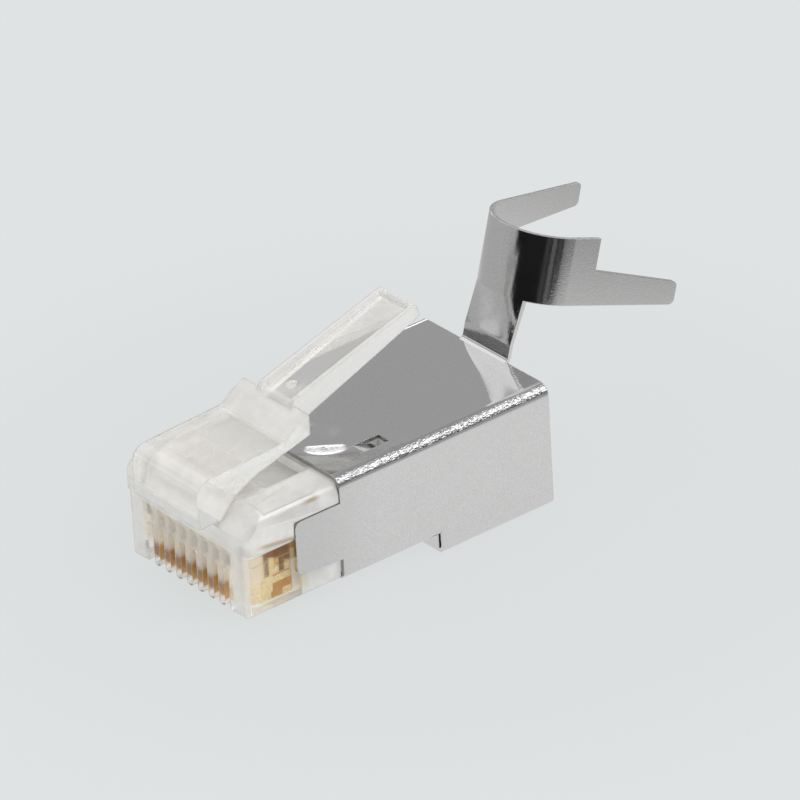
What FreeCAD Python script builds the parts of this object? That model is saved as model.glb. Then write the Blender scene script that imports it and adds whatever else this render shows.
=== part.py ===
import FreeCAD, Part
import math
import os
import Sketcher
from FreeCAD import Placement, Rotation, Vector

# Shielded modular plug, eight contacts, with a crimp tail for a thick cable.
#
# X runs across the plug, Y from the nose back to the cable, Z from the contact side up to the latch.
# The origin is the middle of the nose's bottom front edge. Lengths are in mm, angles in degrees.
# The mating sizes are the standard ones: width, contact pitch and the latch's locking shoulders.

SIZES = {
    # moulded body
    "nose_half": 5.84,          # half the width above the side ledge
    "flank_half": 5.62,         # half the width below the ledge and inside the shield
    "ledge_height": 4.2,
    "body_top": 6.52,
    "face_height": 5.15,        # height of the front face, below the slope that carries the latch
    "slope_run": 1.37,          # how far back the slope reaches the top
    "body_rear": 22.2,
    "crown_radius": 0.9,
    "corner_radius": 0.5,
    "edge_radius": 0.3,
    # contact slots, wells and conductor channels
    "contact_pitch": 1.02,
    "slot_width": 0.48,
    "slot_ceiling": 2.6,
    "slot_rear": 4.6,
    "well_width": 0.39,
    "well_front": 1.15,
    "well_rear": 4.4,
    "well_ceiling": 4.4,
    "channel_radius": 0.45,
    "channel_height": 3.75,
    "channel_front": 0.9,
    "rib_radius": 0.2,
    # wire cavity
    "cavity_half": 4.9,
    "cavity_front": 9.0,
    "cavity_roof": 5.75,
    "cavity_floor": -0.45,
    "cavity_sill": 0.9,         # height of the floor in front of the step
    "cavity_ramp": 0.7,         # length of the slope down the step
    "cavity_roof_run": 3.5,
    # recesses in the body's top
    "shoulder_inner": 3.55,
    "shoulder_outer": 5.45,
    "shoulder_front": 1.6,
    "shoulder_rear": 6.2,
    "shoulder_depth": 0.9,
    "trough_half": 3.35,
    "trough_front": 3.4,
    "trough_rear": 6.48,
    "trough_depth": 0.6,
    "seat_gap": 0.1,            # room round a barb in the moulding
    # contact blades
    "blade_gauge": 0.35,
    "blade_front": 1.2,
    "blade_rear": 4.45,
    "blade_bottom": 0.05,
    "blade_shoulder": 1.6,
    "blade_radius": 0.45,
    "tine_width": 0.72,
    "tine_pitch": 1.12,
    "tine_top": 3.3,            # top of the front tine; each one behind it is lower
    "tine_fall": 0.5,
    "tine_slope": 0.25,         # how much lower a tine is at its rear corner
    # latch
    "flap_half": 3.05,
    "flap_front": -1.3,
    "flap_bottom": 5.45,
    "flap_radius": 1.0,
    "flap_top": 8.45,
    "flap_rise": 0.27,          # how much higher the flap is at its rear end
    "flap_belly": 2.87,
    "flap_belly_height": 7.32,
    "ear_foot": 5.35,
    "ear_knee": 6.2,
    "ear_knee_height": 9.35,
    "ear_top": 9.78,
    "ear_belly": 8.0,
    "lock_face": 7.1,           # 8.4 behind the tip of the latch
    "lever_half": 1.62,
    "lever_root": 6.3,
    "lever_front": 7.16,
    "lever_crest": 10.11,
    "lever_end_top": 12.88,
    "lever_end_bottom": 12.05,
    "lever_elbow": 8.2,
    "lever_elbow_height": 8.8,
    "lever_belly": 13.7,
    "lever_belly_height": 10.88,
    "lever_tip": 16.7,
    "lever_radius": 0.25,
    "rim_half": 1.3,
    "rim_height": 0.38,
    "rim_end": 0.7,
    "gate_place": 8.3,
    "gate_radius": 0.35,
    "gate_depth": 0.1,
    "seam_gap": 0.02,
    # shield
    "gauge": 0.25,
    "shield_half": 5.92,
    "shield_top": 6.8,
    "shield_front": 6.78,
    "shield_rear": 22.5,
    "fold_radius": 0.72,
    "hem_radius": 0.5,
    "step_place": 14.15,
    "step_drop": 1.25,
    "seam_half": 0.08,
    "fit_gap": 0.03,
    "tab_front": 3.44,
    "tab_low": 1.7,
    "tab_high": 5.17,
    "tab_radius": 0.4,
    "barb_inner": 3.45,
    "barb_outer": 4.45,
    "barb_root": 9.6,
    "barb_end": 11.1,
    "barb_window": 11.7,
    "barb_dip": 0.35,
    "barb_slit": 0.04,
    # crimp tail
    "neck_half": 2.08,
    "neck_bend": 0.35,
    "bend_lap": 0.6,            # how far the bend's strip runs into the top
    "tail_root": 22.55,
    "tail_lean": 16.0,
    "neck_flat": 1.0,
    "collar_low": 3.8,
    "collar_high": 8.0,
    "collar_radius": 3.5,
    "collar_sweep": 78.0,
    "collar_bulge": 0.3,
    "strap_root": 4.15,
    "strap_split": 6.0,
    "right_strap_end": 9.75,
    "right_strap_tip": 5.25,
    "left_strap_end": 9.95,
    "left_strap_tip": 6.55,
    "strap_radius": 0.35,
}

CONTACTS = 8
TINES = 3
BEYOND = 1.0  # how far a cut runs past the faces that it opens
TOUCH = 0.05  # how near an edge lies to the corner that it is looked up by


class Length:
    """A number together with the spreadsheet formula that gives it."""

    def __init__(self, value, formula):
        self.value = value
        self.formula = formula

    def _joined(self, other, symbol, result):
        text = other.formula if isinstance(other, Length) else repr(float(other))
        return Length(result, f"({self.formula} {symbol} {text})")

    def __add__(self, other):
        return self._joined(other, "+", self.value + number(other))

    def __sub__(self, other):
        return self._joined(other, "-", self.value - number(other))

    def __mul__(self, other):
        return self._joined(other, "*", self.value * number(other))

    def __rmul__(self, other):
        return self * other

    def __truediv__(self, other):
        return self._joined(other, "/", self.value / number(other))

    def __neg__(self):
        return Length(-self.value, f"(0 - {self.formula})")


def number(size):
    return size.value if isinstance(size, Length) else float(size)


def plain(value):
    return Length(float(value), repr(float(value)))


def size(alias):
    return Length(SIZES[alias], f"Sizes.{alias}")


def sine(angle):
    return Length(math.sin(math.radians(angle.value)), f"sin({angle.formula} * 1 deg)")


def cosine(angle):
    return Length(math.cos(math.radians(angle.value)), f"cos({angle.formula} * 1 deg)")


def square_root(length):
    return Length(math.sqrt(length.value), f"sqrt({length.formula})")


def fill_sheet(document):
    sheet = document.addObject("Spreadsheet::Sheet", "Sizes")
    for row, (alias, value) in enumerate(SIZES.items(), start=1):
        sheet.set(f"A{row}", alias)
        sheet.set(f"B{row}", repr(value))
        sheet.setAlias(f"B{row}", alias)
    document.recompute()


def new_body(document, label):
    body = document.addObject("PartDesign::Body", label)
    body.Label = label
    return body


def new_sketch(body, name, plane, offset=(0, 0, 0), turn=0):
    """A sketch on one of the body's origin planes, shifted by offset and turned about its normal."""
    sketch = body.newObject("Sketcher::SketchObject", name)
    support = [part for part in body.Origin.OriginFeatures if part.Role == plane]
    sketch.AttachmentSupport = [(support[0], "")]
    sketch.MapMode = "FlatFace"
    sketch.AttachmentOffset = Placement(Vector(*map(number, offset)), Rotation(Vector(0, 0, 1), number(turn)))
    for axis, part in zip("xyz", offset):
        if isinstance(part, Length):
            sketch.setExpression(f"AttachmentOffset.Base.{axis}", part.formula)
    if isinstance(turn, Length):
        sketch.setExpression("AttachmentOffset.Rotation.Angle", turn.formula)
    return sketch


def pin(sketch, curve, end, point):
    """Ties one end of a sketched curve to a point measured from the sketch's origin."""
    for kind, part in zip(("DistanceX", "DistanceY"), point):
        index = sketch.addConstraint(Sketcher.Constraint(kind, -1, 1, curve, end, number(part)))
        if isinstance(part, Length):
            sketch.setExpression(f"Constraints[{index}]", part.formula)


def flat(point):
    return Vector(number(point[0]), number(point[1]), 0)


def outline(sketch, *steps):
    """Draws a closed outline. A step is a point, or (point, radius) for an arc that ends at the point.

    A positive radius turns left on the way to the point, a negative one turns right.
    """
    steps = [step if isinstance(step[0], tuple) else (step, None) for step in steps]
    start = flat(steps[-1][0])
    first = sketch.GeometryCount
    for target, radius in steps:
        finish = flat(target)
        if radius is None:
            curve = sketch.addGeometry(Part.LineSegment(start, finish))
            pin(sketch, curve, 2, target)
        else:
            turn = math.copysign(1, number(radius))
            reach = abs(number(radius))
            chord = finish - start
            side = Vector(-chord.y, chord.x, 0).normalize() * turn
            height = math.sqrt(max(reach ** 2 - chord.Length ** 2 / 4, 0))
            centre = start + chord / 2 + side * height
            middle = centre - side * reach
            curve = sketch.addGeometry(Part.Arc(start, middle, finish))
            pin(sketch, curve, 2 if turn > 0 else 1, target)
            index = sketch.addConstraint(Sketcher.Constraint("Radius", curve, reach))
            if isinstance(radius, Length):
                sketch.setExpression(f"Constraints[{index}]", (radius * turn).formula)
        start = finish
    count = sketch.GeometryCount - first
    for place in range(count):
        here, onward = first + place, first + (place + 1) % count
        radius, next_radius = steps[place][1], steps[(place + 1) % count][1]
        leaves = 1 if radius is not None and number(radius) < 0 else 2
        enters = 2 if next_radius is not None and number(next_radius) < 0 else 1
        sketch.addConstraint(Sketcher.Constraint("Coincident", here, leaves, onward, enters))


def circle(sketch, centre, radius):
    curve = sketch.addGeometry(Part.Circle(flat(centre), Vector(0, 0, 1), radius.value))
    pin(sketch, curve, 3, centre)
    index = sketch.addConstraint(Sketcher.Constraint("Radius", curve, radius.value))
    sketch.setExpression(f"Constraints[{index}]", radius.formula)


def rounded_box(sketch, half, low, high, low_radius, high_radius):
    """A box, symmetric about the sketch's vertical axis, with its own radius below and above."""
    outline(
        sketch,
        (half - low_radius, low),
        ((half, low + low_radius), low_radius),
        (half, high - high_radius),
        ((half - high_radius, high), high_radius),
        (high_radius - half, high),
        ((-half, high - high_radius), high_radius),
        (-half, low + low_radius),
        ((low_radius - half, low), low_radius),
    )


def extrude(body, kind, sketch, length, side="One side", reverse=False):
    """A Pad or Pocket of the sketch. Pads follow the sketch's normal, pockets go against it."""
    feature = body.newObject(f"PartDesign::{kind}", sketch.Name.replace("Sketch", kind))
    feature.Profile = sketch
    feature.SideType = side
    feature.Reversed = reverse
    feature.Length = number(length)
    if isinstance(length, Length):
        feature.setExpression("Length", length.formula)
    body.Document.recompute()
    return feature


def plate(body, kind, name, width, *points):
    """An outline in Y and Z, extruded to both sides of the middle plane."""
    sketch = new_sketch(body, f"{name}Sketch", "YZ_Plane")
    outline(sketch, *points)
    return extrude(body, kind, sketch, width, "Symmetric")


def mirror(body, name, features):
    copy = body.newObject("PartDesign::Mirrored", name)
    copy.Originals = features
    plane = [part for part in body.Origin.OriginFeatures if part.Role == "YZ_Plane"]
    copy.MirrorPlane = (plane[0], [""])
    body.Tip = copy
    body.Document.recompute()
    return copy


def repeat_across(body, name, features, pitch, count):
    row = body.newObject("PartDesign::LinearPattern", name)
    row.Originals = features
    axis = [part for part in body.Origin.OriginFeatures if part.Role == "X_Axis"]
    row.Direction = (axis[0], [""])
    row.Mode = "Spacing"
    row.Offset = number(pitch)
    row.setExpression("Offset", pitch.formula)
    row.Occurrences = count
    body.Tip = row
    body.Document.recompute()
    return row


def round_edges(body, name, radius, wanted):
    """Fillets every edge of the body's last feature whose ends and middle satisfy wanted."""
    base = body.Tip
    names = []
    for place, edge in enumerate(base.Shape.Edges, start=1):
        box = edge.BoundBox
        if wanted(box):
            names.append(f"Edge{place}")
    fillet = body.newObject("PartDesign::Fillet", name)
    fillet.Base = (base, names)
    fillet.Radius = number(radius)
    fillet.setExpression("Radius", radius.formula)
    body.Document.recompute()
    return fillet


def contact_place(index):
    """Distance of a contact from the middle plane, contacts counted from the left."""
    return size("contact_pitch") * (index - (CONTACTS - 1) / 2)


def shield_floor(inside=0.0):
    return -size("step_drop") + inside


def make_plug_body(document):
    """The clear moulding: nose with slots, flanks under the shield, and the wire cavity."""
    body = new_body(document, "plug_body")
    add_nose(body)
    add_shank(body)
    add_contact_slots(body)
    add_cavity(body)
    add_top_recesses(body)
    return body


def add_nose(body):
    """The part of the moulding in front of the shield, with its ledges, crown and front slope."""
    half, flank, top = size("nose_half"), size("flank_half"), size("body_top")
    rear = size("shield_front") - size("fit_gap")
    corner, edge, crown = size("corner_radius"), size("edge_radius"), size("crown_radius")
    ledge = size("ledge_height")
    plan = new_sketch(body, "NoseSketch", "XY_Plane")
    outline(
        plan,
        (half - corner, 0),
        ((half, corner), corner),
        (half, rear),
        (-half, rear),
        (-half, corner),
        ((corner - half, 0), corner),
    )
    extrude(body, "Pad", plan, top)
    outside = half + BEYOND
    flank_cut = new_sketch(body, "FlankSketch", "XZ_Plane", (0, 0, BEYOND))
    outline(
        flank_cut,
        (flank - edge, -BEYOND),
        (outside, -BEYOND),
        (outside, ledge),
        (flank, ledge),
        (flank, edge),
        ((flank - edge, 0), -edge),
    )
    flank_pocket = extrude(body, "Pocket", flank_cut, rear + 2 * BEYOND)
    corner_cut = new_sketch(body, "CornerSketch", "XY_Plane", (0, 0, ledge))
    outline(
        corner_cut,
        (flank - corner, -BEYOND),
        (outside, -BEYOND),
        (outside, corner),
        (flank, corner),
        ((flank - corner, 0), -corner),
    )
    corner_pocket = extrude(body, "Pocket", corner_cut, ledge + BEYOND)
    crown_cut = new_sketch(body, "CrownSketch", "XZ_Plane", (0, 0, BEYOND))
    outline(
        crown_cut,
        (outside, top - crown),
        (outside, top + BEYOND),
        (half - crown, top + BEYOND),
        (half - crown, top),
        ((half, top - crown), -crown),
    )
    crown_pocket = extrude(body, "Pocket", crown_cut, rear + 2 * BEYOND)
    recess = new_sketch(body, "RecessSketch", "YZ_Plane", (0, 0, flank))
    front, high = size("tab_front") - size("fit_gap"), size("tab_high") + size("fit_gap")
    low, back = ledge - BEYOND, rear + BEYOND
    outline(recess, (front, low), (back, low), (back, high), (front, high))
    recess_pocket = extrude(body, "Pocket", recess, plain(BEYOND), reverse=True)
    mirror(body, "Flanks", [flank_pocket, corner_pocket, crown_pocket, recess_pocket])
    face, run = size("face_height"), size("slope_run")
    plate(
        body, "Pocket", "Slope", outside * 2,
        (-BEYOND, face - (top - face) / run * BEYOND),
        (run, top),
        (run, top + BEYOND),
        (-BEYOND, top + BEYOND),
    )


def add_shank(body):
    """The part of the moulding that fills the shield, deeper behind the step."""
    flank, top = size("flank_half"), size("body_top")
    corner, edge = size("corner_radius"), size("edge_radius")
    floor = size("gauge") + size("fit_gap")
    start, rear = size("shield_front") - size("seat_gap"), size("body_rear")
    shank = new_sketch(body, "ShankSketch", "XZ_Plane", (0, 0, -start))
    rounded_box(shank, flank, floor, top, edge, corner)
    extrude(body, "Pad", shank, rear - start, reverse=True)
    step = size("step_place") + floor
    deep = new_sketch(body, "DeepSketch", "XZ_Plane", (0, 0, -step))
    rounded_box(deep, flank, shield_floor(floor), floor + BEYOND, edge, edge)
    extrude(body, "Pad", deep, rear - step, reverse=True)


def add_contact_slots(body):
    """For each contact: an open slot with rounded ribs beside it, a well, and a conductor channel."""
    first = contact_place(0)
    rear, ceiling = size("slot_rear"), size("slot_ceiling")
    radius = size("rib_radius")
    left, right = first - size("slot_width") / 2, first + size("slot_width") / 2
    slot = new_sketch(body, "SlotSketch", "XZ_Plane", (0, 0, BEYOND))
    outline(
        slot,
        (right + radius, 0),
        ((right, radius), -radius),
        (right, ceiling),
        (left, ceiling),
        (left, radius),
        ((left - radius, 0), -radius),
        (left - radius, -BEYOND),
        (right + radius, -BEYOND),
    )
    slot_cut = extrude(body, "Pocket", slot, rear + BEYOND)
    front, back, roof = size("well_front"), size("well_rear"), size("well_ceiling")
    well = new_sketch(body, "WellSketch", "YZ_Plane", (0, 0, first))
    outline(well, (front, BEYOND), (back, BEYOND), (back, roof), (front, roof))
    well_cut = extrude(body, "Pocket", well, size("well_width"), "Symmetric")
    channel = new_sketch(body, "ChannelSketch", "XZ_Plane", (0, 0, -size("channel_front")))
    bore, height = size("channel_radius"), size("channel_height")
    circle(channel, (first, height), bore)
    channel_cut = extrude(body, "Pocket", channel, size("cavity_front") - size("channel_front") + bore)
    repeat_across(body, "SlotRow", [slot_cut, well_cut, channel_cut], size("contact_pitch"), CONTACTS)


def add_cavity(body):
    """The hollow that the wires fill, from the channels out through the rear."""
    roof, floor, front = size("cavity_roof"), size("cavity_floor"), size("cavity_front")
    reach, middle = size("channel_radius"), size("channel_height")
    rear, step = size("body_rear") + BEYOND, size("step_place")
    sill, ramp = size("cavity_sill"), size("cavity_ramp")
    plate(
        body, "Pocket", "Cavity", size("cavity_half") * 2,
        (front, middle - reach),
        (step + sill, sill),
        (step + sill + ramp, floor),
        (rear, floor),
        (rear, roof),
        (front + size("cavity_roof_run"), roof),
        (front, middle + reach),
    )


def add_top_recesses(body):
    """Wedges in the shoulders, seats for the shield's barbs, and a trough under the latch."""
    top, room = size("body_top"), size("seat_gap")
    over = top + BEYOND
    inner, outer = size("shoulder_inner"), size("shoulder_outer")
    front, rear = size("shoulder_front"), size("shoulder_rear")
    wedge = new_sketch(body, "WedgeSketch", "YZ_Plane", (0, 0, (inner + outer) / 2))
    outline(wedge, (front, top - size("shoulder_depth")), (rear, top), (rear, over), (front, over))
    wedge_cut = extrude(body, "Pocket", wedge, outer - inner, "Symmetric")
    inner, outer = size("barb_inner") - room, size("barb_outer") + room
    front, rear = size("barb_root") - room * 2, size("barb_window")
    floor = top - size("barb_dip") - room
    seat = new_sketch(body, "SeatSketch", "YZ_Plane", (0, 0, (inner + outer) / 2))
    outline(seat, (front, floor), (rear, floor), (rear, over), (front, over))
    seat_cut = extrude(body, "Pocket", seat, outer - inner, "Symmetric")
    mirror(body, "TopRecesses", [wedge_cut, seat_cut])
    front, rear, floor = size("trough_front"), size("trough_rear"), top - size("trough_depth")
    plate(
        body, "Pocket", "Trough", size("trough_half") * 2,
        (front, floor), (rear, floor), (rear, over), (front, over),
    )


def make_contact(document, index):
    """One stamped blade: contact edge below, tines above that will pierce the conductor."""
    body = new_body(document, f"contact_{index + 1}")
    front, rear = size("blade_front"), size("blade_rear")
    low, shoulder = size("blade_bottom"), size("blade_shoulder")
    radius, width = size("blade_radius"), size("tine_width")
    steps = [
        ((front + radius, low), radius),
        (rear - radius, low),
        ((rear, low + radius), radius),
        (rear, shoulder),
    ]
    for place in reversed(range(TINES)):
        left = front + size("tine_pitch") * place
        tip = size("tine_top") - size("tine_fall") * place
        steps += [
            (left + width, shoulder),
            (left + width, tip - size("tine_slope")),
            (left, tip),
            (left, shoulder),
        ]
    steps[-1] = (front, low + radius)
    sketch = new_sketch(body, f"Blade{index + 1}Sketch", "YZ_Plane")
    outline(sketch, *steps)
    extrude(body, "Pad", sketch, size("blade_gauge"), "Symmetric")
    body.setExpression("Placement.Base.x", contact_place(index).formula)
    return body


def make_latch(document):
    """The latch: root in front of the nose, wide flap with locking ears, narrow thumb lever."""
    body = new_body(document, "latch_lever")
    add_flap(body)
    add_lever(body)
    return body


def add_flap(body):
    front, bottom, bend, top = size("flap_front"), size("flap_bottom"), size("flap_radius"), size("flap_top")
    gap, run, crest = size("seam_gap"), size("slope_run"), size("body_top")
    lean = run / (crest - size("face_height"))
    foot, lock = size("ear_foot"), size("lock_face")
    plate(
        body, "Pad", "Flap", size("flap_half") * 2,
        (front, bottom),
        (run - (crest - bottom) * lean - gap * lean, bottom),
        (run - gap, crest + gap),
        (size("flap_belly"), size("flap_belly_height")),
        (foot, size("ear_belly")),
        (lock, top),
        (lock, size("ear_top")),
        (size("ear_knee"), size("ear_knee_height")),
        (foot, top + size("flap_rise")),
        (front + bend, top),
        ((front, top - bend), bend),
    )


def add_lever(body):
    """The thumb lever, with a sunk face between its rims and the mark of the mould's gate."""
    root, start, lock = size("lever_root"), size("lever_front"), size("lock_face")
    top, crest, tip = size("flap_top"), size("lever_crest"), size("lever_tip")
    radius = size("lever_radius")
    plate(
        body, "Pad", "Lever", size("lever_half") * 2,
        (root, top),
        (lock, top),
        (size("lever_elbow"), size("lever_elbow_height")),
        (size("lever_belly"), size("lever_belly_height")),
        (tip, size("lever_end_bottom")),
        (tip - radius, size("lever_end_top")),
        (start, crest),
        (size("ear_knee") + radius, size("ear_knee_height") - radius),
        (root, size("ear_knee_height") - radius * 2),
    )
    behind = number(tip - radius * 2)
    round_edges(body, "LeverTip", radius, lambda box: box.YMin > behind and box.XLength > radius.value)
    sunk = crest - size("rim_height")
    end, rise = tip - size("rim_end"), size("lever_end_top") - crest
    plate(
        body, "Pocket", "LeverDish", size("rim_half") * 2,
        (root, sunk),
        (start, sunk),
        (end, sunk + rise),
        (end, sunk + rise * 2),
        (root, sunk + rise * 2),
    )
    place = size("gate_place")
    face = sunk + rise / (end - start) * (place - start)
    mark = new_sketch(body, "GateSketch", "XY_Plane", (0, 0, face - size("gate_depth")))
    circle(mark, (plain(0), place), size("gate_radius"))
    extrude(body, "Pocket", mark, plain(BEYOND), reverse=True)


def make_shield(document):
    """One folded sheet: top, sides with front tabs, stepped floor, barbs, and the crimp tail."""
    body = new_body(document, "shield")
    add_sleeves(body)
    add_tabs(body)
    add_barbs(body)
    add_tail(body)
    return body


def add_sleeve(body, name, low, start, length):
    half, top, gauge = size("shield_half"), size("shield_top"), size("gauge")
    sketch = new_sketch(body, f"{name}Sketch", "XZ_Plane", (0, 0, -start))
    rounded_box(sketch, half, low, top, size("hem_radius"), size("fold_radius"))
    rounded_box(sketch, half - gauge, low + gauge, top - gauge,
                size("hem_radius") - gauge, size("fold_radius") - gauge)
    return extrude(body, "Pad", sketch, length, reverse=True)


def add_sleeves(body):
    front, step, rear = size("shield_front"), size("step_place"), size("shield_rear")
    gauge, seam = size("gauge"), size("seam_half")
    add_sleeve(body, "Front", plain(0), front, step + gauge - front)
    add_sleeve(body, "Rear", shield_floor(), step, rear - step)
    wall_half = size("shield_half") - gauge * 2
    wall = new_sketch(body, "StepSketch", "XZ_Plane", (0, 0, -step))
    outline(wall, (-wall_half, shield_floor()), (wall_half, shield_floor()),
            (wall_half, gauge), (-wall_half, gauge))
    extrude(body, "Pad", wall, gauge, reverse=True)
    cut = new_sketch(body, "SeamSketch", "XZ_Plane", (0, 0, -front + BEYOND))
    low, high = shield_floor(-BEYOND), gauge * 2
    outline(cut, (-seam, low), (seam, low), (seam, high), (-seam, high))
    extrude(body, "Pocket", cut, rear - front + 2 * BEYOND)


def add_tabs(body):
    front, low, high, radius = size("tab_front"), size("tab_low"), size("tab_high"), size("tab_radius")
    rear = size("shield_front") + size("seat_gap")
    sketch = new_sketch(body, "TabSketch", "YZ_Plane", (0, 0, size("shield_half") - size("gauge")))
    outline(
        sketch,
        (rear, low - size("gauge")),
        (rear, high),
        (front + radius, high),
        ((front, high - radius), radius),
        (front, low + radius),
        ((front + radius, low), radius),
    )
    tab = extrude(body, "Pad", sketch, size("gauge"))
    mirror(body, "Tabs", [tab])


def add_barbs(body):
    """Two tongues lanced from the top and bent down into the moulding."""
    inner, outer = size("barb_inner"), size("barb_outer")
    root, end, window = size("barb_root"), size("barb_end"), size("barb_window")
    top, gauge, dip, slit = size("shield_top"), size("gauge"), size("barb_dip"), size("barb_slit")
    opening = new_sketch(body, "BarbSketch", "XY_Plane", (0, 0, top + gauge))
    outline(opening, (inner, root), (outer, root), (outer, window), (inner, window))
    cut = extrude(body, "Pocket", opening, gauge * 3)
    tongue = new_sketch(body, "TongueSketch", "YZ_Plane", (0, 0, (inner + outer) / 2))
    outline(
        tongue,
        (root - slit, top - gauge),
        (root + gauge, top - gauge),
        (end, top - gauge - dip),
        (end, top - dip),
        (root + gauge, top),
        (root - slit, top),
    )
    bent = extrude(body, "Pad", tongue, outer - inner - 2 * slit, "Symmetric")
    mirror(body, "Barbs", [cut, bent])


def tail_place(height, back):
    """Y and Z of a point of the tail, from its height along the lean and its distance back."""
    lean = size("tail_lean")
    along = size("tail_root") + sine(lean) * height + cosine(lean) * back
    return (along, size("shield_top") + cosine(lean) * height - sine(lean) * back)


def tail_section(body, name, height):
    """A sketch across the tail at a height along its lean; its second axis points back."""
    sketch = body.newObject("Sketcher::SketchObject", name)
    support = [part for part in body.Origin.OriginFeatures if part.Role == "XY_Plane"]
    sketch.AttachmentSupport = [(support[0], "")]
    sketch.MapMode = "FlatFace"
    lean = size("tail_lean")
    base = tail_place(height, 0)
    turn = Rotation(Vector(-1, 0, 0), number(lean))
    sketch.AttachmentOffset = Placement(Vector(0, *map(number, base)), turn)
    for axis, part in zip("yz", base):
        sketch.setExpression(f"AttachmentOffset.Base.{axis}", part.formula)
    sketch.setExpression("AttachmentOffset.Rotation.Angle", lean.formula)
    return sketch


def add_tail(body):
    add_bend(body)
    add_neck(body)
    add_collar(body)
    cut_straps(body)


def add_bend(body):
    """The strip that turns up from the rear edge of the top, up to where the neck begins."""
    gauge, bend, top = size("gauge"), size("neck_bend"), size("shield_top")
    lean = size("tail_lean")
    foot = bend * (-sine(lean) + 1) / cosine(lean)
    front_foot, rear_foot = tail_place(foot, 0), tail_place(foot, gauge)
    centre = tail_place(foot, -bend)[0]
    start = size("shield_rear") - size("bend_lap")
    plate(
        body, "Pad", "Bend", size("neck_half") * 2,
        (start, top - gauge),
        (centre, top - gauge),
        (rear_foot, bend + gauge),
        tail_place(size("neck_flat"), gauge),
        tail_place(size("neck_flat"), 0),
        front_foot,
        ((centre, top), -bend),
        (start, top),
    )


def add_neck(body):
    """The neck, flat at its foot and hollow where it meets the collar."""
    half, gauge, radius = size("neck_half"), size("gauge"), size("collar_radius")
    foot = tail_section(body, "NeckFootSketch", size("neck_flat"))
    outline(foot, (half, 0), (half, gauge), (-half, gauge), (-half, 0))
    middle = radius - size("collar_bulge")
    inner = radius - gauge
    front = middle - square_root(radius * radius - half * half)
    rear = middle - square_root(inner * inner - half * half)
    head = tail_section(body, "NeckHeadSketch", size("collar_low"))
    outline(head, ((half, front), radius), (half, rear), ((-half, rear), -inner), (-half, front))
    neck = body.newObject("PartDesign::AdditiveLoft", "Neck")
    neck.Profile = foot
    neck.Sections = [head]
    neck.Ruled = True
    body.Document.recompute()


def add_collar(body):
    radius, gauge, sweep = size("collar_radius"), size("gauge"), size("collar_sweep")
    low, high = size("collar_low"), size("collar_high")
    middle = radius - size("collar_bulge")
    inner = radius - gauge
    outward = (cosine(sweep), sine(sweep))

    def end_of_strap(side, reach, offset):
        start = (offset * sine(sweep), middle - offset * cosine(sweep))
        run = (reach - start[1]) / outward[1]
        return ((start[0] + run * outward[0]) * side, reach)

    sketch = tail_section(body, "CollarSketch", low)
    right_end, left_end = size("right_strap_end"), size("left_strap_end")
    arc_end = (sine(sweep) * radius, middle - cosine(sweep) * radius)
    inner_end = (sine(sweep) * inner, middle - cosine(sweep) * inner)
    outline(
        sketch,
        (-arc_end[0], arc_end[1]),
        (arc_end, radius),
        end_of_strap(1, right_end, radius),
        end_of_strap(1, right_end, inner),
        inner_end,
        ((-inner_end[0], inner_end[1]), -inner),
        end_of_strap(-1, left_end, inner),
        end_of_strap(-1, left_end, radius),
    )
    extrude(body, "Pad", sketch, high - low)


def cut_straps(body):
    """Pockets seen from the side leave a low strap on the right and a high one on the left."""
    lean = size("tail_lean")
    root, split = size("strap_root"), size("strap_split")
    low, high = size("collar_low") - BEYOND, size("collar_high") + BEYOND
    right_end, right_tip = size("right_strap_end"), size("right_strap_tip")
    left_end, left_tip = size("left_strap_end"), size("left_strap_tip")
    far = left_end + BEYOND
    base = (size("tail_root"), size("shield_top"), plain(0))
    right = new_sketch(body, "RightStrapSketch", "YZ_Plane", base, -lean)
    outline(right, (root, split), (right_end, right_tip), (far, right_tip), (far, high), (root, high))
    extrude(body, "Pocket", right, far, reverse=True)
    left = new_sketch(body, "LeftStrapSketch", "YZ_Plane", base, -lean)
    outline(left, (root, low), (far, low), (far, left_tip), (left_end, left_tip), (root, split))
    extrude(body, "Pocket", left, far)
    corners = [
        tail_place(height, back)
        for height, back in (
            (size("collar_low"), right_end), (right_tip, right_end),
            (left_tip, left_end), (size("collar_high"), left_end),
        )
    ]

    def at_tip(box):
        short = box.XLength < number(size("gauge")) * 2
        return short and any(
            math.hypot(box.Center.y - number(corner[0]), box.Center.z - number(corner[1])) < TOUCH
            for corner in corners
        )

    round_edges(body, "StrapTips", size("strap_radius"), at_tip)


def check(document, parts):
    for item in document.Objects:
        if "Invalid" in item.State or "Error" in item.State:
            raise RuntimeError(f"{item.Name} failed: {item.State}")
    for part in parts:
        if part.Shape.isNull() or not part.Shape.isValid():
            raise RuntimeError(f"{part.Label} has no valid shape")
        print(part.Label, "solids", len(part.Shape.Solids), "volume", round(part.Shape.Volume, 3))


def main():
    document = FreeCAD.newDocument("modular_plug")
    fill_sheet(document)
    parts = [make_plug_body(document), make_latch(document), make_shield(document)]
    parts += [make_contact(document, index) for index in range(CONTACTS)]
    document.recompute()
    check(document, parts)
    os.makedirs("parts", exist_ok=True)
    for part in parts:
        part.Shape.exportStep(f"parts/{part.Label}.step")


main()
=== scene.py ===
"""A shielded eight-way modular plug: clear moulding, plated folded shield, gold contacts.

The solids come from the CAD frame and keep their shapes and places. This script gives each of
them its material and sets the table top, the room, the lamps and the camera round them.
In the plug's own coordinates x runs across it, y from the nose to the tail, and z up.
Colours are linear, and lengths in the tables are in mm.
"""

import math
from functools import cached_property
from typing import NamedTuple

import bpy
from mathutils import Matrix, Vector


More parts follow.
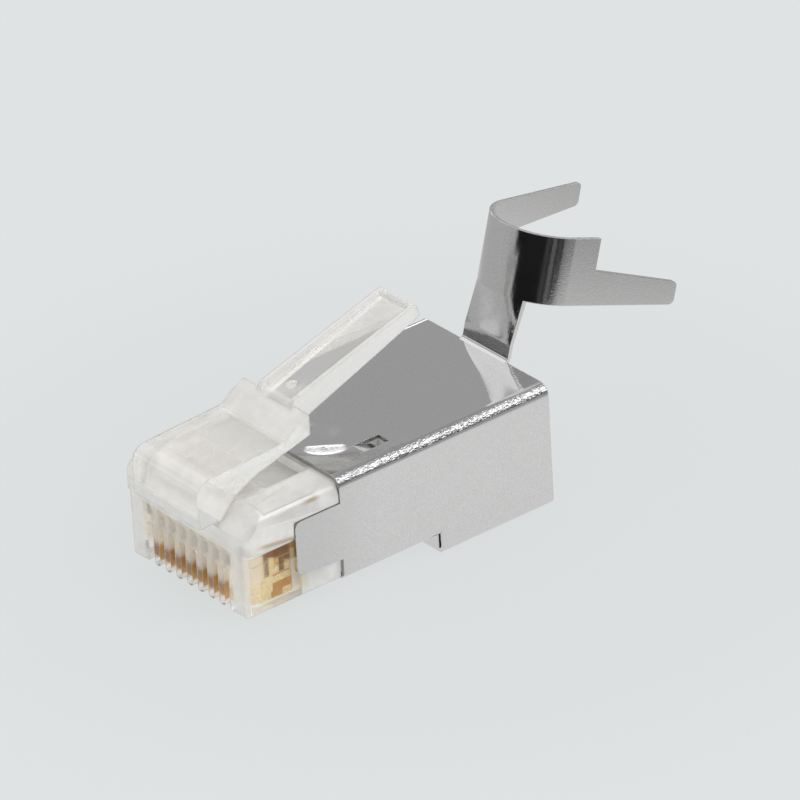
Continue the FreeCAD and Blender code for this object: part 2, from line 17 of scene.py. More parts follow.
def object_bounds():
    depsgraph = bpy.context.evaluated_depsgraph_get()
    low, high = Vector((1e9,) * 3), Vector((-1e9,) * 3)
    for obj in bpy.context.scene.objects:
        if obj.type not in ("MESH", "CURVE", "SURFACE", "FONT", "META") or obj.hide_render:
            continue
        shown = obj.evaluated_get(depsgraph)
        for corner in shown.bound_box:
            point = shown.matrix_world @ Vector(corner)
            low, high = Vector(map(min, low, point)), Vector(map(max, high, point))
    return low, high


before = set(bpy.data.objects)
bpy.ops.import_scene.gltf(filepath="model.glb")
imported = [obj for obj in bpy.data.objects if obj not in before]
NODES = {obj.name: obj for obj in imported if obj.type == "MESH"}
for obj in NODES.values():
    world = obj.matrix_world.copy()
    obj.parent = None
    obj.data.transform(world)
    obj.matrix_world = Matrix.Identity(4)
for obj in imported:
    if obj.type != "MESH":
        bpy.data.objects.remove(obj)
cad_low, cad_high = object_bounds()

MM = 0.001
PER_MM = 1.0 / MM
CONTACT_NAMES = sorted(name for name in NODES if name.startswith("contact_"))

WHITE = (1.0, 1.0, 1.0, 1.0)
RISE = (0.0, 1.0)
FALL = (1.0, 0.0)
# A noise texture keeps near 0.5: this is where its low parts go over into the high ones
NOISE_SPAN = (0.3, 0.7)
# An edge is where rounding turns the normal: the cosine of the turn, from full to none
RIM_TURN = (0.75, 0.98)
BEVEL_SAMPLES = 6
# The Mix node's sockets for each kind of value: first and second input, output
MIX_SOCKETS = {"FLOAT": (2, 3, 0), "RGBA": (6, 7, 2)}


# --- plated sheet ---

SHEET_DARK = (0.74, 0.74, 0.742, 1.0)
SHEET_BRIGHT = (0.83, 0.83, 0.832, 1.0)
SHEET_DARKER_FRONT = (0.55, 0.55, 0.55, 1.0)
SHEET_ROUGHNESS = (0.03, 0.06)
# Radius of its edges, and depth of its grain
SHEET_EDGE = 0.06
SHEET_RELIEF = 0.02

# Noise textures: waves per mm, detail
DRIFT = (0.6, 3.0)
SPECKLE = (1.0 / 0.07, 1.0)
GRAIN = (1.0 / 0.09, 2.0)
# The grain is drawn out along the plug, at a slant
GRAIN_TURN = (0.0, 0.0, 0.6)
GRAIN_STRETCH = (1.0, 0.35, 1.0)

# The sides are darker towards the front
SIDE_FACING = (0.8, 0.95)
DARKER_FRONT_ALONG = (4.0, 10.0)
DARKER_FRONT_AMOUNT = 0.4

# The folds at the top face partly sideways and partly up, and are worked into a coarse grain
FOLD_FACING = (0.25, 0.5)
GRAIN_LEVELS = (0.1, 2.0)

# The tail is a little rougher and grained all over
TAIL_HEIGHT = (7.2, 8.5)
TAIL_ROUGHNESS = 0.06
TAIL_GRAIN = 0.11
TAIL_SPECKLE = 0.11

# The shallow dent in front of each barb. It runs along DENT_AXIS for DENT_REACH either way, and
# across that it reaches DENT_NEAR to the outer side and DENT_FAR inwards
DENT_CENTRE = Vector((2.2, 8.75, 0.0))
DENT_AXIS = Vector((0.607, 0.795, 0.0))
DENT_FALL = Vector((0.795, -0.607, 0.0))
DENT_REACH, DENT_NEAR, DENT_FAR = 1.9, 1.4, 3.4
DENT_DEPTH = 0.12
# Its outer side is pressed rough: where that begins across the dent, and where it ends up its wall
PRESSED_START = (0.0, 0.56)
PRESSED_WALL = (0.4, 0.9)
PRESSED_GRAIN = 1.8
PRESSED_ROUGHNESS = 0.12


# --- clear moulding ---

PLASTIC = (0.985, 0.975, 0.955, 1.0)
# The first ray is bent as polycarbonate does it, and the rays inside hardly at all
PLASTIC_IOR = 1.5
INNER_IOR = 1.08
# The metal mirrors the plastic darker than the camera sees it
IN_METAL = (0.12, 0.12, 0.12, 1.0)
IN_METAL_AMOUNT = 0.6
# What the plastic lets through as shadow
SHADOW_TINT = (0.92, 0.915, 0.90, 1.0)

# The gloss grows as a face turns up
UP_FACING = (0.1, 0.7)
COAT_LEVELS = (0.1, 0.6)
COAT_ROUGHNESS = 0.06

# Soft clouds in the haze and the roughness, as factors, and shallow waves in the surface
CLOUD = (0.5, 3.0)
CLOUD_SPREAD = (0.85, 1.15)
ROUGHNESS_SPREAD = (0.5, 1.5)
RIPPLE = (0.8, 2.0)
RIPPLE_DEPTH = 0.01

# Radius of the rounded edges, and the haze along them
MOULDED_EDGE = 0.15
RIM_HAZE = 0.7

# The front face is clear before the contacts, and milky above the ribs, beside them and at
# its corners
FRONT_FACING = (0.4, 0.9)
RIBS_TOP = (1.5, 2.3)
RIBS_SIDE = (4.0, 4.3)
ABOVE_RIBS_HAZE = 0.45
BESIDE_RIBS_HAZE = 0.75
CORNER_FACING = (0.1, 0.3)
CORNER_HAZE = 0.5
# Where the next kind of haze begins: behind the nose, above the ledge, and at the top's edges
SHANK_ALONG = (3.75, 3.95)
LEDGE_HEIGHT = (3.88, 3.96)
TOP_EDGES = (2.9, 3.6)


class Milk(NamedTuple):
    """How milky the parts of a moulding are, from 0, clear, to 1."""

    top_edges: float
    top_middle: float
    above_ledge: float
    nose: float
    shank: float


BODY_MILK = Milk(0.84, 0.36, 0.8, 0.03, 0.85)
LATCH_MILK = Milk(0.08, 0.08, 0.12, 0.12, 0.12)
BODY_ROUGHNESS = 0.06
LATCH_ROUGHNESS = 0.08

# The latch's flap and the step behind it: front, rear and haze, with the width of the soft edge
FLAP_MILK = ((-2.5, 5.2, 0.24), (5.2, 7.5, 0.6))
FLAP_SOFT = 0.15
# Its lever: the raised rims, a frosted patch at a slant across the dish, and the flap's lip
LEVER_ALONG = (7.3, 7.7)
LEVER_RIM = (1.2, 1.3)
LEVER_RIM_HAZE = 0.85
FROST_SLANT = (-2.1 * PER_MM, PER_MM, 0.0)
FROST_SPAN = (13.0, 13.8)
FROST_HAZE = 0.4
LIP_HEIGHT = (5.8, 6.8)
LIP_HAZE = 0.8


class PaintedPatch(NamedTuple):
    """A painted part of the moulding, mostly painted light and shade: colour, amount, and its own
    haze.

    Each limit names a measure, the values it lies between, None where a side is open, and how
    soft the edge is. A patchy part follows the clouds.
    """

    colour: tuple
    amount: float
    haze: float
    limits: tuple
    patchy: bool = False


# The shoulder's line slants: its height falls as it goes back
LEAN = 0.12
SHOULDER_FLANK = (("across", 5.525, None, 0.075), ("along", 1.3, 5.4, 0.4))
PATCH_SPAN = (0.35, 0.65)
PATCH_LEVELS = (0.5, 0.9)
# Painted light: gold as the clear ribs and walls spread it, then the shoulder's painted light and
# shade
BODY_PAINTED_LIGHT_AND_STREAK = (
    # painted gold glow above the ribs
    PaintedPatch((0.93, 0.87, 0.77, 1.0), 0.9, 0.54, (
        ("height", 1.5, 4.0, 0.3), ("along", None, 1.95, 0.35), ("across", None, 4.05, 0.15))),
    # painted amber on the walls between the contacts, the gold seen through them
    PaintedPatch((0.62, 0.38, 0.12, 1.0), 0.9, 0.405, (
        ("height", 0.35, 1.5, 0.12), ("along", None, 1.9, 0.2), ("across", None, 3.525, 0.075),
        ("sideways", 0.65, None, 0.15))),
    # painted gold light on the side window, the outer contact seen through the wall
    PaintedPatch((0.96, 0.89, 0.68, 1.0), 0.9, 0.0, (
        ("height", 0.6, 3.6, 0.15), ("along", 0.9, 4.3, 0.3), ("across", 5.2, None, 0.2))),
    # painted brown shade over the rear of the contacts, in the wells
    PaintedPatch((0.60, 0.38, 0.12, 1.0), 0.9, 0.0, (
        ("height", 2.8, 3.9, 0.1), ("along", 1.95, 4.3, 0.1), ("sideways", 0.75, None, 0.15))),
    # deeper painted shade between their tines, the next blade in shadow
    PaintedPatch((0.52, 0.27, 0.03, 1.0), 0.9, 0.54, (
        ("height", 1.45, 3.4, 0.05), ("along", 2.1, 4.3, 0.1), ("across", None, 3.525, 0.075))),
    # painted grey shade under the edge of the recess in the shoulder
    PaintedPatch((0.80, 0.785, 0.76, 1.0), 0.72, 0.0, SHOULDER_FLANK + (
        ("lean", 5.95, None, 0.05), ("height", None, 6.15, 0.1))),
    # painted golden shade at its pointed end
    PaintedPatch((0.50, 0.36, 0.18, 1.0), 0.72, 0.0, SHOULDER_FLANK + (
        ("along", 4.4, 5.5, 0.5), ("height", 6.0, 6.22, 0.08))),
    # the brown streak above the ledge
    PaintedPatch((0.50, 0.36, 0.18, 1.0), 0.9, 0.0, (
        ("across", 5.525, None, 0.075), ("along", 0.9, 3.7, 0.6), ("lean", 4.52, 4.78, 0.12)),
        patchy=True),
    # a painted highlight, a milky white line at the lower edge of the painted grey shade
    PaintedPatch(WHITE, 0.0, 0.9, SHOULDER_FLANK + (("lean", 5.82, 5.9, 0.04),)),
)


# --- gold contacts ---

class Plate(NamedTuple):
    """Gold on a blade: its flank, its front tine above the ribs, and the panels in shade.

    Each panel has its front, rear, low and high edge.
    """

    flank: tuple
    front_tine: tuple
    metallic: float
    panels: tuple


# The inner blades' flanks are painted dark, as in shade between the walls; their front tines above
# the ribs are a paler gold
INNER_PLATE_IN_PAINTED_SHADE = Plate((0.36, 0.17, 0.035, 1.0), (0.82, 0.74, 0.60, 1.0), 0.8, (
    # painted shade on the rear tines
    (1.95, 4.5, 1.5, 3.4),
))
OUTER_PLATE = Plate((1.0, 0.88, 0.60, 1.0), (1.0, 0.88, 0.62, 1.0), 0.3, (
    # painted shade on a line under the tines, and on the coined parts below it
    (2.5, 3.8, 1.48, 1.6),
    (2.5, 4.5, 0.5, 1.05),
    (2.35, 3.2, -0.1, 0.55),
))
GOLD_SHADE = (0.60, 0.26, 0.01, 1.0)
PANEL_SOFT = 0.05
# Clouds in the shade and the roughness, and fine streaks of shade
GOLD_CLOUD = (2.0, 3.0)
GOLD_CLOUD_SPAN = (0.2, 0.6)
GOLD_CLOUD_LEVELS = (0.75, 1.0)
GOLD_ROUGHNESS = (0.18, 0.3)
STREAK = (1.0 / 0.12, 2.0)
STREAK_SPAN = (0.35, 0.7)
STREAK_SHADE = 0.35
# The front tine: where it ends towards the rear, and where it rises out of the flank
FRONT_TINE_END = (1.85, 2.0)
FRONT_TINE_FOOT = (1.2, 1.6)


# --- room ---

# What the camera sees behind the plug
BACKDROP = (0.738, 0.768, 0.768, 1.0)

# What the metal mirrors: a ceiling that grows lighter upwards, and the zones below.
# Each zone: azimuth from and to, elevation from and to (degrees), edge, level
CEILING_SPAN = (32.0, 80.0)
CEILING_LEVELS = (0.385, 0.9)
STUDIO_ZONES = (
    # the front left: table, dark gap above it, white strip light
    (-135, 0, -90, 0, 1.5, 0.44),
    (-135, -6, 0.5, 8.5, 1.5, 0.02),
    (-150, -92, 9.5, 23, 1.5, 1.6),
    (-92, -8, 9.5, 23, 4.0, 0.72),
    # the dark room on the camera's side, with fainter things in it
    (-8, 101, -60, 14, 3.0, 0.008),
    (50, 56, -60, 14, 2.0, 0.05),
    (61, 68, -60, 14, 2.0, 0.12),
    (72, 78, -60, 14, 2.0, 0.06),
    (82, 101, -60, 14, 3.0, 0.2),
    # behind on the right: grey wall, softbox, dark gap below it
    (118, 181, 40, 80, 6.0, 0.33),
    (-181, -135, 40, 80, 6.0, 0.33),
    (126, 148, 31, 52, 3.0, 2.4),
    (112, 135, 6, 28, 2.0, 0.04),
    (112, 135, -14, 8, 4.0, 0.36),
    # a white panel high on the left
    (-122, -45, 36, 62, 4.0, 0.95),
)
# The soft light from all round, by the sine of the elevation
SOFT_LIGHT_SPAN = (-0.6, 0.6)
SOFT_LIGHT_LEVELS = (0.58, 0.6)

# The table top: a disc that shows the backdrop's colour, takes some shadow near the plug, and is
# mirrored darker by the metal farther out
FLOOR_REACH = 42.0
FLOOR_CORNERS = 96
FLOOR_GAP = 0.02
FLOOR_MIRRORED = (0.76, 0.755, 0.75, 1.0)
FLOOR_MIRROR_SPAN = (18.0, 42.0)
FLOOR_MIRROR_FADE = 0.42
FLOOR_SHADE_SPAN = (18.0, 38.0)
FLOOR_OWN_LIGHT = (0.85, 1.0)

# Softboxes: azimuth and elevation (degrees), distance and size (m), energy (W)
LAMPS = {
    "key_softbox": (139, 42, 0.6, 0.2, 0.5),
    "front_softbox": (-15, 30, 0.7, 0.3, 0.3),
    "side_softbox": (80, 25, 0.6, 0.3, 0.6),
}

# The camera: a long lens from the front right and above, slightly rolled (degrees; clip in m)
CAMERA_PLACE = (363.92, -261.66, 263.91)
CAMERA_AZIMUTH, CAMERA_ELEVATION, CAMERA_ROLL = 52.65, 29.4, -3.42
CAMERA_LENS = 403.4
CAMERA_SENSOR = 36.0
CAMERA_CLIP = (10 * MM, 5.0)

# The light goes through many walls of clear plastic before it comes out
MAX_BOUNCES, GLOSSY_BOUNCES, TRANSMISSION_BOUNCES = 24, 16, 20


class Graph:
    """Adds nodes to a shader tree and links them. A value is a socket or a constant."""

    def __init__(self, tree):
        self.tree = tree
        tree.nodes.clear()

    def add(self, kind, **settings):
        node = self.tree.nodes.new(kind)
        for name, value in settings.items():
            setattr(node, name, value)
        return node

    def link(self, source, target):
        self.tree.links.new(source, target)

    def fill(self, target, value):
        if isinstance(value, bpy.types.NodeSocket):
            self.link(value, target)
        else:
            target.default_value = value

    def math(self, operation, *values):
        node = self.add("ShaderNodeMath", operation=operation)
        for slot, value in enumerate(values):
            self.fill(node.inputs[slot], value)
        return node.outputs[0]

    def fold(self, operation, first, *others):
        for other in others:
            first = self.math(operation, first, other)
        return first

    def product(self, *values):
        return self.fold("MULTIPLY", *values)

    def largest(self, *values):
        return self.fold("MAXIMUM", *values)

    def vector_math(self, operation, *values):
        node = self.add("ShaderNodeVectorMath", operation=operation)
        for slot, value in enumerate(values):
            self.fill(node.inputs[slot], value)
        return node

    def dot(self, first, second):
        return self.vector_math("DOT_PRODUCT", first, second).outputs["Value"]

    def step(self, value, span, levels=RISE):
        """A smooth step between the two levels as value goes from one end of span to the other."""
        node = self.add("ShaderNodeMapRange", interpolation_type="SMOOTHSTEP")
        self.link(value, node.inputs["Value"])
        node.inputs["From Min"].default_value = span[0]
        node.inputs["From Max"].default_value = span[1]
        node.inputs["To Min"].default_value = levels[0]
        node.inputs["To Max"].default_value = levels[1]
        return node.outputs["Result"]

    def within(self, value, low, high, soft):
        """1 between low and high and 0 outside, with soft edges. A side that is None is open."""
        parts = []
        if low is not None:
            parts.append(self.step(value, (low - soft, low + soft)))
        if high is not None:
            parts.append(self.step(value, (high - soft, high + soft), FALL))
        return self.product(*parts)

    def noise(self, vector, waves, detail):
        """Soft noise with so many waves to the mm."""
        node = self.add("ShaderNodeTexNoise")
        self.link(vector, node.inputs["Vector"])
        node.inputs["Scale"].default_value = waves / MM
        node.inputs["Detail"].default_value = detail
        return node.outputs["Fac"]

    def bump(self, height, depth, normal):
        """The normal, tilted as if height raised the surface by up to depth mm."""
        node = self.add("ShaderNodeBump")
        node.inputs["Distance"].default_value = depth * MM
        self.link(height, node.inputs["Height"])
        self.link(normal, node.inputs["Normal"])
        return node.outputs["Normal"]

    def mix(self, kind, factor, first, second):
        node = self.add("ShaderNodeMix", data_type=kind)
        first_socket, second_socket, result = MIX_SOCKETS[kind]
        self.link(factor, node.inputs[0])
        self.fill(node.inputs[first_socket], first)
        self.fill(node.inputs[second_socket], second)
        return node.outputs[result]

    def mix_colour(self, factor, first, second):
        return self.mix("RGBA", factor, first, second)

    def mix_level(self, factor, first, second):
        return self.mix("FLOAT", factor, first, second)

    def mix_shader(self, factor, first, second):
        node = self.add("ShaderNodeMixShader")
        self.link(factor, node.inputs[0])
        self.link(first.outputs[0], node.inputs[1])
        self.link(second.outputs[0], node.inputs[2])
        return node

    def background(self, colour, strength):
        node = self.add("ShaderNodeBackground")
        node.inputs["Color"].default_value = colour
        self.fill(node.inputs["Strength"], strength)
        return node


class Surface(Graph):
    """A material round one Principled shader, with the measures that its look depends on."""

    def __init__(self, name):
        self.material = bpy.data.materials.new(name)
        self.material.use_nodes = True
        super().__init__(self.material.node_tree)
        self.shader = self.add("ShaderNodeBsdfPrincipled")
        self.output = self.add("ShaderNodeOutputMaterial")
        self.link(self.shader.outputs[0], self.output.inputs["Surface"])
        self.place = self.add("ShaderNodeTexCoord").outputs["Object"]
        self.normal = self.add("ShaderNodeNewGeometry").outputs["Normal"]

    @cached_property
    def across(self):
        """How far the point is from the plug's middle, in mm."""
        return self.math("ABSOLUTE", self.dot(self.place, (PER_MM, 0.0, 0.0)))

    @cached_property
    def along(self):
        """How far the point is behind the nose, in mm."""
        return self.dot(self.place, (0.0, PER_MM, 0.0))

    @cached_property
    def height(self):
        return self.dot(self.place, (0.0, 0.0, PER_MM))

    @cached_property
    def sideways(self):
        """How far the face is turned to either side, 0 to 1."""
        return self.math("ABSOLUTE", self.dot(self.normal, (1.0, 0.0, 0.0)))

    @cached_property
    def upwards(self):
        """How far the face is turned up, -1 to 1."""
        return self.dot(self.normal, (0.0, 0.0, 1.0))

    def give(self, name, value):
        """Sets or links one input of the Principled shader."""
        self.fill(self.shader.inputs[name], value)

    def rounded(self, radius):
        """The normal as if the edges had this radius in mm, and how far it turns there, 0 to 1."""
        bevel = self.add("ShaderNodeBevel", samples=BEVEL_SAMPLES)
        bevel.inputs["Radius"].default_value = radius * MM
        turn = self.dot(bevel.outputs["Normal"], self.normal)
        return bevel.outputs["Normal"], self.step(turn, RIM_TURN, FALL)


def barb_dent(sheet):
    """The dents by the barbs, 0 in the middle and 1 outside, and their steeper, worked side."""
    mirrored = sheet.vector_math("ABSOLUTE", sheet.place).outputs[0]
    reach, fall = (sheet.math("SUBTRACT", sheet.dot(mirrored, axis * PER_MM),
                              DENT_CENTRE.dot(axis)) for axis in (DENT_AXIS, DENT_FALL))
    outer = sheet.step(fall, PRESSED_START)
    reach = sheet.math("DIVIDE", reach, DENT_REACH)
    fall = sheet.largest(sheet.math("DIVIDE", fall, DENT_NEAR),
                         sheet.math("DIVIDE", fall, -DENT_FAR))
    squares = sheet.math("ADD", sheet.product(reach, reach), sheet.product(fall, fall))
    dent = sheet.step(sheet.math("SQRT", squares), RISE)
    return dent, sheet.product(outer, sheet.step(dent, PRESSED_WALL, FALL))


def sheet_material():
    """Bright plated sheet: fine speckle, coarse grain on the folds, a dent at each barb."""
    sheet = Surface("bright_nickel_sheet")
    drift = sheet.noise(sheet.place, *DRIFT)
    speckle = sheet.noise(sheet.place, *SPECKLE)
    fibres = sheet.add("ShaderNodeMapping")
    sheet.link(sheet.place, fibres.inputs["Vector"])
    fibres.inputs["Rotation"].default_value = GRAIN_TURN
    fibres.inputs["Scale"].default_value = GRAIN_STRETCH
    grain = sheet.noise(fibres.outputs[0], *GRAIN)

    darker_front = sheet.product(sheet.step(sheet.sideways, SIDE_FACING),
                         sheet.step(sheet.along, DARKER_FRONT_ALONG, (DARKER_FRONT_AMOUNT, 0.0)))
    tone = sheet.mix_colour(sheet.step(speckle, NOISE_SPAN), SHEET_DARK, SHEET_BRIGHT)

    tail = sheet.step(sheet.height, TAIL_HEIGHT)
    fold = sheet.product(sheet.step(sheet.sideways, FOLD_FACING),
                         sheet.step(sheet.upwards, FOLD_FACING))
    dent, pressed = barb_dent(sheet)
    worked = sheet.largest(fold, sheet.product(tail, TAIL_GRAIN))
    worked = sheet.largest(sheet.step(worked, RISE, GRAIN_LEVELS),
                           sheet.product(pressed, PRESSED_GRAIN))
    relief = sheet.math("ADD", sheet.product(grain, worked),
                        sheet.product(speckle, tail, TAIL_SPECKLE))
    rough = sheet.fold("ADD", sheet.step(drift, NOISE_SPAN, SHEET_ROUGHNESS),
                       sheet.product(tail, TAIL_ROUGHNESS),
                       sheet.product(pressed, PRESSED_ROUGHNESS))
    rounded, _ = sheet.rounded(SHEET_EDGE)

    sheet.give("Metallic", 1.0)
    sheet.give("Base Color", sheet.mix_colour(darker_front, tone, SHEET_DARKER_FRONT))
    sheet.give("Roughness", rough)
    sheet.give("Normal", sheet.bump(dent, DENT_DEPTH, sheet.bump(relief, SHEET_RELIEF, rounded)))
    return sheet.material


def base_haze(part, milk, front, up):
    """How milky the moulding is by where it lies and the way it faces."""
    ribs = part.largest(part.step(part.height, RIBS_TOP, (0.0, ABOVE_RIBS_HAZE)),
                        part.step(part.across, RIBS_SIDE, (0.0, BESIDE_RIBS_HAZE)))
    corner = part.product(part.step(part.product(part.sideways, front), CORNER_FACING),
                          CORNER_HAZE)
    low = part.largest(part.step(part.along, SHANK_ALONG, (milk.nose, milk.shank)),
                       part.product(front, ribs), corner)
    upright = part.mix_level(part.step(part.height, LEDGE_HEIGHT), low, milk.above_ledge)
    top = part.step(part.across, TOP_EDGES, (milk.top_middle, milk.top_edges))
    return part.mix_level(up, upright, top)


def latch_haze(part, front):
    """The milky bands of the latch: flap, step, rims and frosted end of the lever, and lip."""
    flap = [part.product(part.within(part.along, start, end, FLAP_SOFT), level)
            for start, end, level in FLAP_MILK]
    edge = part.step(part.across, LEVER_RIM, (0.0, LEVER_RIM_HAZE))
    frost = part.step(part.dot(part.place, FROST_SLANT), FROST_SPAN, (0.0, FROST_HAZE))
    lever = part.product(part.step(part.along, LEVER_ALONG), part.largest(edge, frost))
    lip = part.product(front, part.step(part.height, LIP_HEIGHT, (LIP_HAZE, 0.0)))
    return part.largest(*flap, lever, lip)


def with_painted_patches(part, painted_patches, cloud, haze):
    """The moulding's colour with its painted light and shade and a streak, and the haze with
    theirs.
    """
    measures = {
        "across": part.across,
        "along": part.along,
        "height": part.height,
        "sideways": part.sideways,
        "lean": part.dot(part.place, (0.0, LEAN * PER_MM, PER_MM)),
    }
    tone = PLASTIC
    for patch in painted_patches:
        mask = part.product(*(part.within(measures[name], low, high, soft)
                              for name, low, high, soft in patch.limits))
        if patch.patchy:
            mask = part.product(mask, part.step(cloud, PATCH_SPAN, PATCH_LEVELS))
        if patch.amount:
            tone = part.mix_colour(part.product(mask, patch.amount), tone, patch.colour)
        if patch.haze:
            haze = part.largest(haze, part.product(mask, patch.haze))
    return tone, haze


def moulding_material(name, milk, roughness, painted_patches=(), latch=False):
    """Clear polycarbonate, milkier where it faces up and clearest low down at the contacts."""
    part = Surface(name)
    path = part.add("ShaderNodeLightPath").outputs
    front = part.step(part.dot(part.normal, (0.0, -1.0, 0.0)), FRONT_FACING)
    up = part.step(part.upwards, UP_FACING)
    cloud = part.noise(part.place, *CLOUD)
    rounded, rim = part.rounded(MOULDED_EDGE)

    haze = base_haze(part, milk, front, up)
    if latch:
        haze = part.largest(haze, latch_haze(part, front))
    haze = part.product(haze, part.step(cloud, NOISE_SPAN, CLOUD_SPREAD))
    haze = part.largest(haze, part.product(rim, RIM_HAZE))
    # Painted gold light, painted shade and a streak go into the colour and the haze
    tone, haze = with_painted_patches(part, painted_patches, cloud, haze)

    # Glossy rays that don't come through the plastic itself come from the metal
    in_metal = part.math("SUBTRACT", path["Is Glossy Ray"], path["Is Transmission Ray"])
    in_metal = part.step(in_metal, RISE, (0.0, IN_METAL_AMOUNT))
    spread = [roughness * factor for factor in ROUGHNESS_SPREAD]
    ripple = part.noise(part.place, *RIPPLE)

    part.give("Base Color", part.mix_colour(in_metal, tone, IN_METAL))
    part.give("Transmission Weight", part.math("SUBTRACT", 1.0, haze))
    part.give("IOR", part.step(path["Is Camera Ray"], RISE, (INNER_IOR, PLASTIC_IOR)))
    part.give("Roughness", part.step(cloud, NOISE_SPAN, spread))
    part.give("Coat Weight", part.step(up, RISE, COAT_LEVELS))
    part.give("Coat Roughness", COAT_ROUGHNESS)
    part.give("Normal", part.bump(ripple, RIPPLE_DEPTH, rounded))

    clear = part.add("ShaderNodeBsdfTransparent")
    clear.inputs["Color"].default_value = SHADOW_TINT
    mixed = part.mix_shader(path["Is Shadow Ray"], part.shader, clear)
    part.link(mixed.outputs[0], part.output.inputs["Surface"])
    return part.material


def blade_material(name, plate):
    """Gold plate, streaked, and in brown shade on its panels."""
    blade = Surface(name)
    cloud = blade.noise(blade.place, *GOLD_CLOUD)
    streak = blade.noise(blade.place, *STREAK)
    dark = blade.product(blade.step(streak, STREAK_SPAN), STREAK_SHADE)
    for front, rear, low, high in plate.panels:
        panel = blade.product(blade.within(blade.along, front, rear, PANEL_SOFT),
                              blade.within(blade.height, low, high, PANEL_SOFT))
        dark = blade.largest(dark, panel)
    dark = blade.product(dark, blade.step(cloud, GOLD_CLOUD_SPAN, GOLD_CLOUD_LEVELS))
    pale = blade.product(blade.step(blade.along, FRONT_TINE_END, FALL),
                         blade.step(blade.height, FRONT_TINE_FOOT))
    tone = blade.mix_colour(pale, plate.flank, plate.front_tine)
    blade.give("Metallic", plate.metallic)
    blade.give("Base Color", blade.mix_colour(dark, tone, GOLD_SHADE))
    blade.give("Roughness", blade.step(cloud, NOISE_SPAN, GOLD_ROUGHNESS))
    return blade.material


def dress(name, material):
    node = NODES[name]
    node.data.materials.clear()
    node.data.materials.append(material)


def place_in_scene(thing):
    bpy.context.scene.collection.objects.link(thing)


def make_world():
    """Three skies: the backdrop as seen, the studio as metal mirrors it, and a soft light."""
    world = bpy.data.worlds.new("studio")
    bpy.context.scene.world = world
    world.use_nodes = True
    graph = Graph(world.node_tree)
    parts = graph.add("ShaderNodeSeparateXYZ")
    graph.link(graph.add("ShaderNodeTexCoord").outputs["Generated"], parts.inputs[0])
    x, y, z = parts.outputs
    degrees = math.degrees(1.0)
    azimuth = graph.product(graph.math("ARCTAN2", x, graph.product(y, -1.0)), degrees)
    elevation = graph.product(graph.math("ARCSINE", z), degrees)

    level = graph.step(elevation, CEILING_SPAN, CEILING_LEVELS)
    for start, end, low, high, soft, value in STUDIO_ZONES:
        mask = graph.product(graph.within(azimuth, start, end, soft),
                             graph.within(elevation, low, high, soft))
        level = graph.mix_level(mask, level, value)
    mirrored = graph.background(WHITE, level)
    soft_light = graph.background(WHITE, graph.step(z, SOFT_LIGHT_SPAN, SOFT_LIGHT_LEVELS))
    seen = graph.background(BACKDROP, 1.0)

    path = graph.add("ShaderNodeLightPath").outputs
    unseen = graph.mix_shader(path["Is Glossy Ray"], soft_light, mirrored)
    through = graph.largest(path["Is Camera Ray"], path["Is Transmission Ray"])
    mixed = graph.mix_shader(through, unseen, seen)
    graph.link(mixed.outputs[0], graph.add("ShaderNodeOutputWorld").inputs["Surface"])


def make_floor():
    """A pale round table top. It takes the shadow near the plug, and metal mirrors it darker."""
    middle = (cad_low + cad_high) / 2
    reach = FLOOR_REACH * MM
    turns = [math.tau * i / FLOOR_CORNERS for i in range(FLOOR_CORNERS)]
    corners = [(middle.x + reach * math.cos(turn), middle.y + reach * math.sin(turn),
                cad_low.z - FLOOR_GAP * MM) for turn in turns]
    mesh = bpy.data.meshes.new("floor")
    mesh.from_pydata(corners, [], [tuple(range(FLOOR_CORNERS))])
    floor = bpy.data.objects.new("floor", mesh)
    place_in_scene(floor)

    material = bpy.data.materials.new("table_top")
    material.use_nodes = True
    graph = Graph(material.node_tree)
    place = graph.add("ShaderNodeTexCoord").outputs["Object"]
    away = graph.vector_math("DISTANCE", place, (middle.x, middle.y, cad_low.z))
    away = graph.product(away.outputs["Value"], PER_MM)
    path = graph.add("ShaderNodeLightPath").outputs
    lit = graph.add("ShaderNodeBsdfDiffuse")
    lit.inputs["Color"].default_value = BACKDROP
    own = graph.add("ShaderNodeEmission")
    graph.link(graph.mix_colour(path["Is Glossy Ray"], BACKDROP, FLOOR_MIRRORED),
               own.inputs["Color"])
    fade = graph.product(path["Is Glossy Ray"],
                         graph.step(away, FLOOR_MIRROR_SPAN, (0.0, FLOOR_MIRROR_FADE)))
    graph.link(graph.math("SUBTRACT", 1.0, fade), own.inputs["Strength"])
    seen = graph.largest(path["Is Camera Ray"], path["Is Transmission Ray"],
                         path["Is Glossy Ray"])
    seen = graph.product(seen, graph.step(away, FLOOR_SHADE_SPAN, FLOOR_OWN_LIGHT))
    mixed = graph.mix_shader(seen, lit, own)
    graph.link(mixed.outputs[0], graph.add("ShaderNodeOutputMaterial").inputs["Surface"])
    mesh.materials.append(material)


def direction(azimuth, elevation):
    """Unit vector. Azimuth 0 is before the nose and turns towards +X, in degrees."""
    turn, rise = math.radians(azimuth), math.radians(elevation)
    return Vector((math.sin(turn) * math.cos(rise), -math.cos(turn) * math.cos(rise),
                   math.sin(rise)))


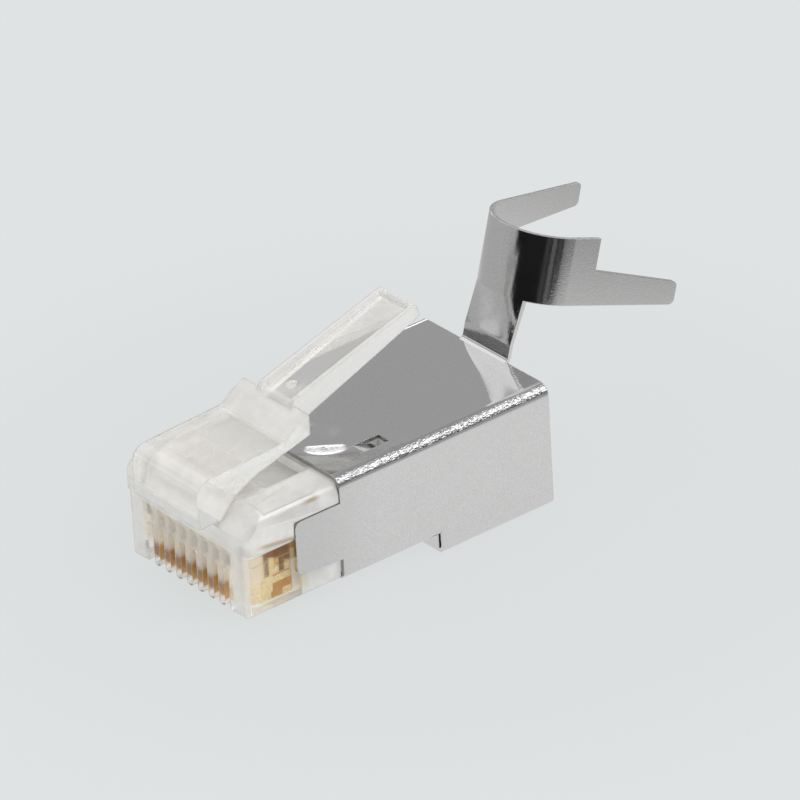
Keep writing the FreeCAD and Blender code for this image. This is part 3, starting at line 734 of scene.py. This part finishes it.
def make_lamp(name, azimuth, elevation, distance, size, energy):
    """A square softbox that faces the plug's middle. The metal doesn't mirror it."""
    data = bpy.data.lights.new(name, "AREA")
    data.shape = "SQUARE"
    data.size = size
    data.energy = energy
    lamp = bpy.data.objects.new(name, data)
    place_in_scene(lamp)
    way = direction(azimuth, elevation)
    lamp.location = (cad_low + cad_high) / 2 + way * distance
    lamp.visible_glossy = False
    lamp.rotation_mode = "QUATERNION"
    lamp.rotation_quaternion = way.to_track_quat("Z", "Y")


def make_camera():
    azimuth = math.radians(CAMERA_AZIMUTH)
    roll = math.radians(CAMERA_ROLL)
    forward = -direction(CAMERA_AZIMUTH, CAMERA_ELEVATION)
    right = Vector((math.cos(azimuth), math.sin(azimuth), 0.0))
    down = -right.cross(forward)
    rolled_right = right * math.cos(roll) - down * math.sin(roll)
    rolled_down = right * math.sin(roll) + down * math.cos(roll)
    data = bpy.data.cameras.new("camera")
    data.sensor_width = CAMERA_SENSOR
    data.lens = CAMERA_LENS
    data.clip_start, data.clip_end = CAMERA_CLIP
    camera = bpy.data.objects.new("camera", data)
    place_in_scene(camera)
    turn = Matrix((rolled_right, -rolled_down, -forward)).transposed().to_4x4()
    camera.matrix_world = Matrix.Translation(Vector(CAMERA_PLACE) * MM) @ turn
    bpy.context.scene.camera = camera


make_camera()
make_world()
make_floor()
for lamp_name, settings in LAMPS.items():
    make_lamp(lamp_name, *settings)

dress("shield", sheet_material())
# The inner contacts get gold painted in shade, the outer one lit gold
gold = blade_material("gold_plate", INNER_PLATE_IN_PAINTED_SHADE)
side_gold = blade_material("outer_gold_plate", OUTER_PLATE)
dress("plug_body", moulding_material("body_polycarbonate", BODY_MILK, BODY_ROUGHNESS,
                                     painted_patches=BODY_PAINTED_LIGHT_AND_STREAK))
dress("latch_lever", moulding_material("latch_polycarbonate", LATCH_MILK, LATCH_ROUGHNESS,
                                       latch=True))
for contact_name in CONTACT_NAMES[:-1]:
    dress(contact_name, gold)
dress(CONTACT_NAMES[-1], side_gold)

bpy.context.scene.view_settings.view_transform = "Standard"
cycles = bpy.context.scene.cycles
cycles.max_bounces = MAX_BOUNCES
cycles.glossy_bounces = GLOSSY_BOUNCES
cycles.transmission_bounces = TRANSMISSION_BOUNCES
